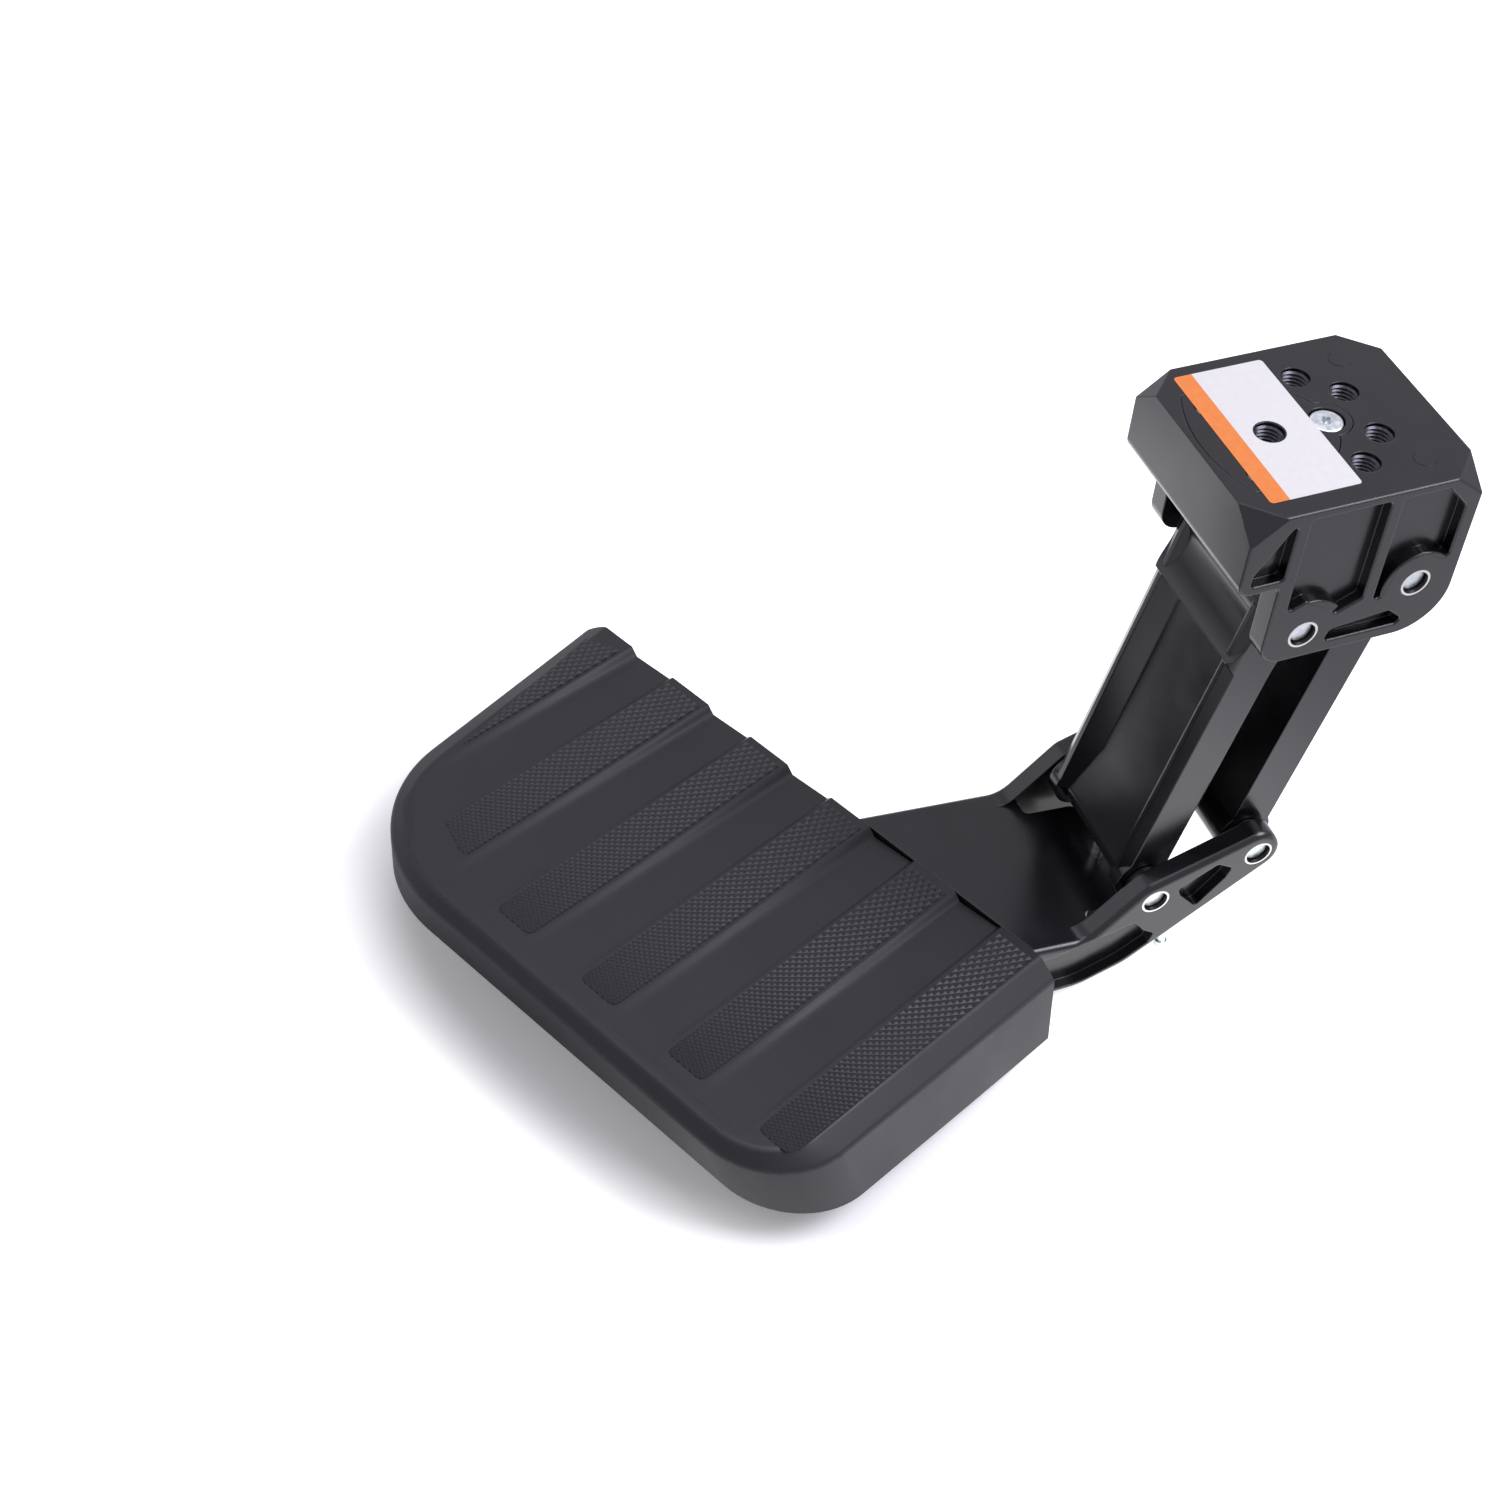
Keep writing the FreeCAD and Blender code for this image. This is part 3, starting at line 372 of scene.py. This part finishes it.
# %% Lay one field of diamonds
def knurl_field(name, right, columns, trims):
    """A field of diamonds with its right border at x. Each trim is a point and an outward direction."""
    bm = bmesh.new()
    last_row = len(knurl_rows) - 1
    left = right - columns * diamond_width / 2
    valleys = []
    for vert in bmesh.ops.create_grid(bm, x_segments=columns, y_segments=last_row, size=0.5)["verts"]:
        column = round((vert.co.x + 0.5) * columns)
        row = round((0.5 - vert.co.y) * last_row)
        valley = (column + row) % 2 == 1
        vert.co = Vector((left + column * diamond_width / 2, knurl_rows[row],
                          valley_height if valley else diamond_height)) * MM
        if valley:
            valleys.append(vert)
    bmesh.ops.connect_verts(bm, verts=valleys)
    for point, outward in trims:
        bmesh.ops.bisect_plane(bm, geom=bm.verts[:] + bm.edges[:] + bm.faces[:], clear_outer=True,
                               plane_co=Vector((*point, 0)) * MM, plane_no=Vector((*outward, 0)))
    border = [edge for edge in bm.edges if edge.is_boundary]
    wall = bmesh.ops.extrude_edge_only(bm, edges=border)["geom"]
    for vert in verts_of(wall):
        vert.co.z = field_sunk * MM
    bmesh.ops.recalc_face_normals(bm, faces=bm.faces[:])
    bm.transform(on_tread)
    finish_piece(name, bm, [tread_plastic], "foot")


def rounded_end(left, right, radius=3.5):
    """Trims that round a field's two outer corners."""
    trims = []
    for side, x in ((-1, left + radius), (1, right - radius)):
        for degrees in (25, 65):
            outward = (side * math.cos(math.radians(degrees)), -math.sin(math.radians(degrees)))
            trims.append(((x + radius * outward[0], field_outer + radius + radius * outward[1]), outward))
    return trims


# %% [markdown]
# Six bands, six fields. Three of them are plain rectangles with rounded outer corners. The first one is
# squeezed to a wedge by the slanting left shoulder, the second ends early where the tread's large left
# corner starts, and the last one follows the right shoulder.

# %% Knurl all six bands
outer_end = ((0, field_outer), (0, -1))
left_shoulder_trims = [((-142.5, -15.7), (-0.986, -0.1675)), ((-141, -13), (-0.4, 0.917))]
left_corner_trims = [((-97.0, -144.0), (-0.371, -0.928)), ((0, -150.0), (0, -1))]
last_field_right = 121.6
last_field_slant = (1, 0.0112)
last_field_inset = 1.8
for band in range(6):
    right = first_band_right + band * band_pitch - field_margin
    columns = 12
    trims = [outer_end] + rounded_end(right - columns * diamond_width / 2, right)
    if band == 0:
        columns = 10
        trims = left_shoulder_trims
    if band == 1:
        trims = left_corner_trims
    if band == 5:
        columns = 11
        right = last_field_right
        trims = [((right, 0), last_field_slant), outer_end]
        trims += rounded_end(right - columns * diamond_width / 2, right - last_field_inset)
    knurl_field("band_knurl_%d" % band, right, columns, trims)

# %% [markdown]
# ## Fading groove floors
#
# Between the bands run sloping grooves. On the solid they keep their depth and end in a short ramp. On the
# real tread they get shallower all the way out, which is much softer to the eye. So each groove gets a floor
# of its own: a grid whose cross-section is the groove's, scaled down row by row until it meets the flat top.
# The floor covers the deeper groove of the solid, and its border is folded down into it. The first groove
# runs out over the tread's large left corner, so its floor bends down there with the shoulder. The shoulder
# gets steeper round the corner, towards the front.

# %% Groove floors
groove_section = ((0.0, 0.0), (1.0, 0.65), (2.0, 1.6), (3.0, 2.55), (4.2, 3.25), (6.0, 3.4), (25.0, 2.15),
                  (25.6, 1.5), (26.4, 0.6), (27.0, 0.0))
groove_start = -0.5
groove_end = -168.0
groove_rows = 30
corner_x, corner_y, corner_radius = -65.0, -109.0, 64.6
floor_past_corner = 4.4
fade_before_corner = 3
side_slope = 0.53
slope_per_degree = 0.0135
floor_lift = 0.02
fold_depth = 0.15


def corner_limit(x, radius):
    """How far out a groove may run at x: to its end, or to a circle about the left corner's centre."""
    if x >= corner_x:
        return groove_end
    return max(groove_end, corner_y - math.sqrt(max(radius ** 2 - (x - corner_x) ** 2, 0.0)))


def shoulder_drop(x, y):
    """How far the tread's shoulder lies below its top round the left corner."""
    if x >= corner_x or y >= corner_y:
        return 0.0
    turn = math.degrees(math.atan2(corner_y - y, corner_x - x))
    past_edge = max(0.0, math.hypot(x - corner_x, y - corner_y) - corner_radius)
    return (side_slope + slope_per_degree * turn) * past_edge


def floor_point(left, column, row):
    """A vertex of a groove's floor in the tread's frame."""
    across, depth = groove_section[column]
    x = left + across
    way = 1 - (1 - row / groove_rows) ** 2
    y = groove_start + way * (corner_limit(x, corner_radius + floor_past_corner) - groove_start)
    fade = max(0.0, 1 - (y - groove_start) / (corner_limit(x, corner_radius - fade_before_corner)
                                                     - groove_start))
    return Vector((x, y, floor_lift - max(fade * depth, shoulder_drop(x, y)))) * MM


bm = bmesh.new()
last_column = len(groove_section) - 1
for band in range(5):
    left = first_band_right + band * band_pitch
    grid = bmesh.ops.create_grid(bm, x_segments=last_column, y_segments=groove_rows, size=0.5)
    for vert in grid["verts"]:
        column = round((vert.co.x + 0.5) * last_column)
        row = round((0.5 - vert.co.y) * groove_rows)
        vert.co = floor_point(left, column, row)
border = [edge for edge in bm.edges if edge.is_boundary]
fold = bmesh.ops.extrude_edge_only(bm, edges=border)["geom"]
bmesh.ops.translate(bm, verts=verts_of(fold), vec=(0, 0, -fold_depth * MM))
bmesh.ops.recalc_face_normals(bm, faces=bm.faces[:])
bm.transform(on_tread)
finish_piece("groove_floors", bm, [tread_plastic], "foot", smooth_angle=40)

# %% [markdown]
# ## Threads in the mounting holes
#
# Five holes in the head take bolts with a 1.75 mm pitch. The solids have plain bores, which is right for a
# library part, but the eye expects to see the ridges. A thread is a small triangle that turns about the
# hole's axis while it sinks: the spin operator does just that when it is given a step along the axis. The
# bores were tapped after coating, so the flanks are bare metal. Their colour is painted dark grey to stand
# in for the shade deep in the holes.

# %% Tapped threads
# Painted shade: a dark grey for the threads in place of bright bare aluminium.
tapped_metal_painted_shade = bare_metal("tapped_aluminium_painted_shade", "#3a3a3f", "#4e4e54", 0.25, 0.38, 1.5)
thread_pitch = 1.75
steps_per_turn = 40
bore = 6.0
thread_top = -0.45
root_bite = 0.25
crest_reach = 0.85
bolt_places = ((13.3, 41.1), (-13.3, 41.1), (26.9, 26.9), (-26.9, 26.9))


def thread_ridge(bm, x, y, turns):
    """A helical ridge down the wall of a hole at that place."""
    corners = [(bore + root_bite, thread_top), (bore - crest_reach, thread_top - 0.5 * thread_pitch),
               (bore + root_bite, thread_top - 0.98 * thread_pitch)]
    profile = [bm.verts.new(Vector((x + reach, y, height)) * MM) for reach, height in corners]
    edges = [bm.edges.new((profile[i], profile[i - 1])) for i in range(3)]
    bmesh.ops.spin(bm, geom=profile + edges, cent=Vector((x, y, 0)) * MM, axis=(0, 0, 1),
                   dvec=Vector((0, 0, -thread_pitch / steps_per_turn)) * MM,
                   angle=-2 * math.pi * turns, steps=turns * steps_per_turn)


bm = bmesh.new()
thread_ridge(bm, 0, 0, 6)
for x, y in bolt_places:
    thread_ridge(bm, x, y, 10)
bmesh.ops.holes_fill(bm, edges=[edge for edge in bm.edges if edge.is_boundary], sides=3)
bmesh.ops.recalc_face_normals(bm, faces=bm.faces[:])
finish_piece("bolt_hole_threads", bm, [tapped_metal_painted_shade], "head", smooth_angle=40)

# %% [markdown]
# ## Six-lobe screws in the lid
#
# Three zinc pan-head screws hold the lid over the spring. Their drive is a six-lobed star. The star starts
# as a circle of vertices whose distance from the middle swings in and out six times. From that loop the head
# grows outwards ring by ring, and the recess goes down from the same loop. The simple solids of the screws
# are hidden behind this better set.

# %% Lid screws
screw_top = -0.4
lobe_middle = 2.25
lobe_swing = 0.38
recess_depth = 1.8
recess_taper = 0.9
screw_rings = ((3.4, -0.38), (5.9, -0.42), (6.6, -0.62), (6.95, -1.05), (7.0, -1.5), (7.0, -3.0),
               (3.0, -3.0), (3.0, -22.4), (2.4, -23.0))
front_screws = ((20.6, -13.6), (-20.6, -13.6))
rear_screw = (0, 25.4)


def open_edges(geometry):
    """The edges among what an operator made that have a face on one side only."""
    return [e for e in geometry if isinstance(e, bmesh.types.BMEdge) and e.is_boundary]


def next_ring(bm, edges, radius, height):
    """Extrudes a ring of edges into a round ring of that radius and height and returns its edges."""
    made = bmesh.ops.extrude_edge_only(bm, edges=edges)["geom"]
    for vert in verts_of(made):
        around = math.atan2(vert.co.y, vert.co.x)
        vert.co = Vector((radius * math.cos(around), radius * math.sin(around), height)) * MM
    return open_edges(made)


bm = bmesh.new()
for vert in bmesh.ops.create_circle(bm, segments=60, radius=lobe_middle * MM)["verts"]:
    around = math.atan2(vert.co.y, vert.co.x)
    reach = lobe_middle + lobe_swing * math.cos(6 * around)
    vert.co = Vector((reach * math.cos(around), reach * math.sin(around), screw_top)) * MM
star_edges = bm.edges[:]
rim = star_edges
for radius, height in screw_rings:
    rim = next_ring(bm, rim, radius, height)
bmesh.ops.contextual_create(bm, geom=rim)
floor_ring = bmesh.ops.extrude_edge_only(bm, edges=star_edges)["geom"]
for vert in verts_of(floor_ring):
    vert.co = Vector((recess_taper * vert.co.x, recess_taper * vert.co.y, (screw_top - recess_depth) * MM))
bmesh.ops.contextual_create(bm, geom=open_edges(floor_ring))
first_screw = bm.verts[:] + bm.edges[:] + bm.faces[:]
for x, y in front_screws:
    copy = bmesh.ops.duplicate(bm, geom=first_screw)["geom"]
    bmesh.ops.translate(bm, verts=verts_of(copy), vec=Vector((x, y, 0)) * MM)
bmesh.ops.translate(bm, verts=verts_of(first_screw), vec=Vector((*rear_screw, 0)) * MM)
bmesh.ops.recalc_face_normals(bm, faces=bm.faces[:])
lid_screws = finish_piece("six_lobe_lid_screws", bm, [zinc], "head", smooth_angle=35)
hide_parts("cap_screws")

# %% [markdown]
# ## A blank sticker on the lid
#
# A printed polyester label lies over the lid, in two fields of colour: an orange strip along the front and
# a white field behind it. It stays blank here. The sheet is an outline with rounded corners and a round hole
# for the lid's bolt, filled between the two, cut along the line where the colours meet, and thickened.

# %% Sticker
ink_mottle = 3


def printed_film(name, shade, ink):
    """Glossy printed polyester whose ink is a little uneven."""
    material, shader, place = start_material(name)
    mottle = add_node(material, "ShaderNodeTexNoise", {"Scale": 1 / (ink_mottle * MM), "Detail": 4.0},
                      {"Vector": place})
    tint = add_node(material, "ShaderNodeValToRGB", links={"Fac": mottle.outputs["Fac"]})
    tint.color_ramp.elements[0].position = 0.3
    tint.color_ramp.elements[0].color = linear(shade)
    tint.color_ramp.elements[1].position = 0.7
    tint.color_ramp.elements[1].color = linear(ink)
    material.node_tree.links.new(tint.outputs["Color"], shader.inputs["Base Color"])
    shader.inputs["Roughness"].default_value = 0.32
    return material


white_film = printed_film("white_polyester_film", "#d2d2d1", "#d6d6d5")
orange_film = printed_film("orange_printed_film", "#d97a35", "#df8340")
sticker_left, sticker_right, sticker_front, sticker_rear = -41.0, 37.5, -20.5, 19.2
colour_line = sticker_front + 8.2
sticker_corner = 1.6
bolt_window = 6.6
film_under = 0.05
film_thickness = 0.12

bm = bmesh.new()
corners = [bm.verts.new(Vector((x, y, film_under)) * MM) for x, y in (
    (sticker_left, sticker_front), (sticker_right, sticker_front),
    (sticker_right, sticker_rear), (sticker_left, sticker_rear))]
for i in range(4):
    bm.edges.new((corners[i - 1], corners[i]))
bmesh.ops.bevel(bm, geom=corners, offset=sticker_corner * MM, offset_type="OFFSET", segments=5, profile=0.5,
                affect="VERTICES", material=-1)
bmesh.ops.create_circle(bm, segments=48, radius=bolt_window * MM,
                        matrix=Matrix.Translation((0, 0, film_under * MM)))
bmesh.ops.triangle_fill(bm, edges=bm.edges[:], use_beauty=True)
bmesh.ops.bisect_plane(bm, geom=bm.verts[:] + bm.edges[:] + bm.faces[:],
                       plane_co=Vector((0, colour_line, 0)) * MM, plane_no=(0, 1, 0))
for face in bm.faces:
    face.material_index = 1 if face.calc_center_median().y < colour_line * MM else 0
lifted = bmesh.ops.extrude_face_region(bm, geom=bm.faces[:], use_keep_orig=True)["geom"]
bmesh.ops.translate(bm, verts=verts_of(lifted), vec=(0, 0, film_thickness * MM))
bmesh.ops.recalc_face_normals(bm, faces=bm.faces[:])
finish_piece("blank_sticker", bm, [white_film, orange_film], "head")

# %% [markdown]
# ## Ejector marks on the head
#
# Two pins push the casting out of its die and leave faint rings on the flat face. Each is part of a circle
# of tiny round section: a small hexagon, spun most of the way round.

# %% Ejector marks
mark_y = 50.0
mark_radius = 4.6
mark_bead = 0.16
mark_sweep = 230
bm = bmesh.new()
for x, start in ((32.0, 200.0), (-32.0, 170.0)):
    seat = Matrix.Translation(Vector((x, mark_y, 0.0)) * MM) @ Matrix.Rotation(math.radians(start), 4, "Z")
    section = bmesh.ops.create_circle(bm, segments=6, radius=mark_bead * MM,
                                      matrix=seat @ Matrix.Translation(Vector((mark_radius, 0, 0)) * MM)
                                      @ Matrix.Rotation(math.radians(90), 4, "X"))["verts"]
    section_edges = list({edge for vert in section for edge in vert.link_edges})
    bmesh.ops.spin(bm, geom=section + section_edges, cent=Vector((x, mark_y, 0.0)) * MM, axis=(0, 0, 1),
                   angle=math.radians(mark_sweep), steps=30)
bmesh.ops.holes_fill(bm, edges=[edge for edge in bm.edges if edge.is_boundary], sides=6)
bmesh.ops.recalc_face_normals(bm, faces=bm.faces[:])
finish_piece("ejector_marks", bm, [powder_coat], "head", smooth_angle=60)

# %% [markdown]
# ## Round bosses in the cheek pockets
#
# On the real casting the upper pins' bosses stand in the cheek pockets as round rings. The solid has them
# with straight flanks, so each gets an arc: a small rectangle with one softened corner, spun about the pin's
# axis. It lies a hair under the cheek's face and hides inside the solid wherever that is already metal. Each
# arc below has its pin's place, its outer radius, and the angles where it starts and how far it goes.

# %% Boss arcs
cheek_face = 47.0
arc_inner = 9.0
arc_root = 5.2
arc_sunk = 0.04
lip_round = 0.7
boss_arcs = (((4.2, -66.3), 17.6, 42, 83), ((51.8, -52.1), 15.6, 25, 170))
bm = bmesh.new()
for side in (1, -1):
    for (y, z), outer, first, sweep in boss_arcs:
        face = bmesh.ops.create_grid(bm, x_segments=1, y_segments=1, size=0.5)["verts"]
        for vert in face:
            reach = arc_inner if vert.co.y < 0 else outer
            x = side * (cheek_face - (arc_root if vert.co.x < 0 else arc_sunk))
            vert.co = Vector((x, y + reach * math.cos(math.radians(first)),
                              z + reach * math.sin(math.radians(first)))) * MM
        lip = max(face, key=lambda vert: (abs(vert.co.x) > (cheek_face - 1) * MM,
                                          math.hypot(vert.co.y - y * MM, vert.co.z - z * MM)))
        other = next(vert for vert in face if vert is not lip)
        bmesh.ops.bevel(bm, geom=[lip], offset=lip_round * MM, offset_type="OFFSET", affect="VERTICES",
                        segments=4, profile=0.5, material=-1)
        section = other.link_faces[0]
        bmesh.ops.spin(bm, geom=[section] + list(section.edges) + list(section.verts),
                       cent=Vector((0, y, z)) * MM, axis=(1, 0, 0), angle=math.radians(sweep), steps=28)
bmesh.ops.recalc_face_normals(bm, faces=bm.faces[:])
finish_piece("boss_arcs", bm, [powder_coat], "head", smooth_angle=35)

# %% [markdown]
# ## Floor, light and backdrop
#
# The photograph was taken in a white sweep with soft light. The floor is a large white sheet at the lowest
# point of the step. A little extra white for the camera's own rays keeps the far floor white. It grows
# outwards from the tread, measured in half lengths of it, and stays weak close to the tread, which paints a
# band of shade round it on top of the contact shadow. In the photograph the sweep on both sides of the links
# is lit well past white. A picture can't show that, but a glossy coat reflects it, so reflections are given
# two pools of extra white: painted reflections, where the floor glows for glossy rays only.

# %% Floor
floor_level = cad_box[0].z
floor_half = 6.0
painted_reflection_pools = ((100, -80, 120, 260, 1.0), (-210, -110, 70, 220, 1.2))
tread_half_length = 153
tread_half_depth = 89
floor_white, shader, place = start_material("studio_sweep")
rays = add_node(floor_white, "ShaderNodeLightPath")
mirrored = add_node(floor_white, "ShaderNodeMath", {}, {0: rays.outputs["Is Glossy Ray"],
                                                         1: rays.outputs["Is Transmission Ray"]},
                    operation="MAXIMUM")
pools = []
# Painted reflections: the floor glows for glossy rays only, in two pools of extra white.
for x, y, inner, outer, strength in painted_reflection_pools:
    away = add_node(floor_white, "ShaderNodeVectorMath", {1: (x * MM, y * MM, floor_level)}, {0: place},
                    operation="DISTANCE")
    pools.append(add_node(floor_white, "ShaderNodeMapRange", {"From Min": inner * MM, "From Max": outer * MM,
                                                              "To Min": strength, "To Max": 0.0},
                          {"Value": away.outputs["Value"]}, interpolation_type="SMOOTHSTEP"))
pool = add_node(floor_white, "ShaderNodeMath", {}, {i: pools[i].outputs["Result"] for i in (0, 1)},
                operation="ADD")
pool = add_node(floor_white, "ShaderNodeMath", {}, {0: mirrored.outputs[0], 1: pool.outputs[0]},
                operation="MULTIPLY")
# Painted shade: the camera's glow is 0.2 up to the tread's outline and rises to 0.72 past it, so the floor
# reads darker round the tread.
tread_middle = on_tread @ (Vector((0, -tread_half_depth, 0)) * MM)
from_tread = add_node(floor_white, "ShaderNodeMapping",
                      {"Location": (tread_middle.x, tread_middle.y, floor_level),
                       "Rotation": (0, 0, on_tread.to_euler().z),
                       "Scale": (tread_half_length * MM, tread_half_depth * MM, 1)},
                      {"Vector": place}, vector_type="TEXTURE")
away = add_node(floor_white, "ShaderNodeVectorMath", {}, {0: from_tread.outputs["Vector"]},
                operation="LENGTH")
camera_glow_painted_shade = add_node(floor_white, "ShaderNodeMapRange",
                 {"From Min": 1.0, "From Max": 1.42, "To Min": 0.2, "To Max": 0.72},
                 {"Value": away.outputs["Value"]}, interpolation_type="SMOOTHSTEP")
lift = add_node(floor_white, "ShaderNodeMath", {},
                {0: rays.outputs["Is Camera Ray"], 1: camera_glow_painted_shade.outputs["Result"], 2: pool.outputs[0]},
                operation="MULTIPLY_ADD")
floor_white.node_tree.links.new(lift.outputs[0], shader.inputs["Emission Strength"])
shader.inputs["Base Color"].default_value = linear("#f7f7f8")
shader.inputs["Emission Color"].default_value = linear("#ffffff")
shader.inputs["Roughness"].default_value = 0.9
bm = bmesh.new()
bmesh.ops.create_grid(bm, x_segments=1, y_segments=1, size=floor_half,
                      matrix=Matrix.Translation((0, 0, floor_level)))
mesh = bpy.data.meshes.new("studio_floor")
bm.to_mesh(mesh)
bm.free()
mesh.materials.append(floor_white)
studio_floor = bpy.data.objects.new("studio_floor", mesh)
scene.collection.objects.link(studio_floor)
print("floor at z", round(floor_level / MM, 1), "mm")

# %% World
studio_white = "#f7f4ff"
room_light = 0.22
room_reflection = 0.85
world = bpy.data.worlds.new("studio_room")
scene.world = world
world.use_nodes = True
world.node_tree.nodes.clear()
rays = add_node(world, "ShaderNodeLightPath")
mirrored = add_node(world, "ShaderNodeMath", {}, {0: rays.outputs["Is Glossy Ray"],
                                                   1: rays.outputs["Is Transmission Ray"]},
                    operation="MAXIMUM")
level = add_node(world, "ShaderNodeMapRange", {"To Min": room_light, "To Max": room_reflection},
                 {"Value": mirrored.outputs[0]})
level = add_node(world, "ShaderNodeMath", {}, {0: level.outputs["Result"], 1: rays.outputs["Is Camera Ray"]},
                 operation="MAXIMUM")
glow = add_node(world, "ShaderNodeBackground", {"Color": linear(studio_white)},
                {"Strength": level.outputs[0]})
add_node(world, "ShaderNodeOutputWorld", links={"Surface": glow.outputs["Background"]})
print("world glows at", room_light, "for lighting,", room_reflection, "in reflections and 1 for the camera")

# %% [markdown]
# ## Lamps
#
# The main lamp stands behind the step, high and to the right. It draws the bright band along the tread's
# right shoulder and throws a soft shadow to the front left. A wide weak lamp overhead evens out the top
# faces, and another one from the front left opens the shadows.

# %% Lamps
def soft_lamp(name, place, target, size, watts):
    """A square area lamp at a place, in metres, that faces a target."""
    data = bpy.data.lights.new(name, "AREA")
    data.size = size
    data.energy = watts
    data.color = linear(studio_white)[:3]
    lamp = bpy.data.objects.new(name, data)
    scene.collection.objects.link(lamp)
    lamp.location = place
    lamp.rotation_euler = (Vector(target) - Vector(place)).to_track_quat("-Z", "Y").to_euler()
    print(name, "gives", watts, "W")


middle = (-0.05, -0.15, -0.15)
soft_lamp("key_box", (0.5, 0.9, 1.25), middle, 1.0, 30.0)
soft_lamp("overhead_box", (-0.2, 0.1, 1.5), middle, 1.3, 10.0)
soft_lamp("front_fill", (-0.9, -1.4, 0.8), middle, 1.2, 3.0)
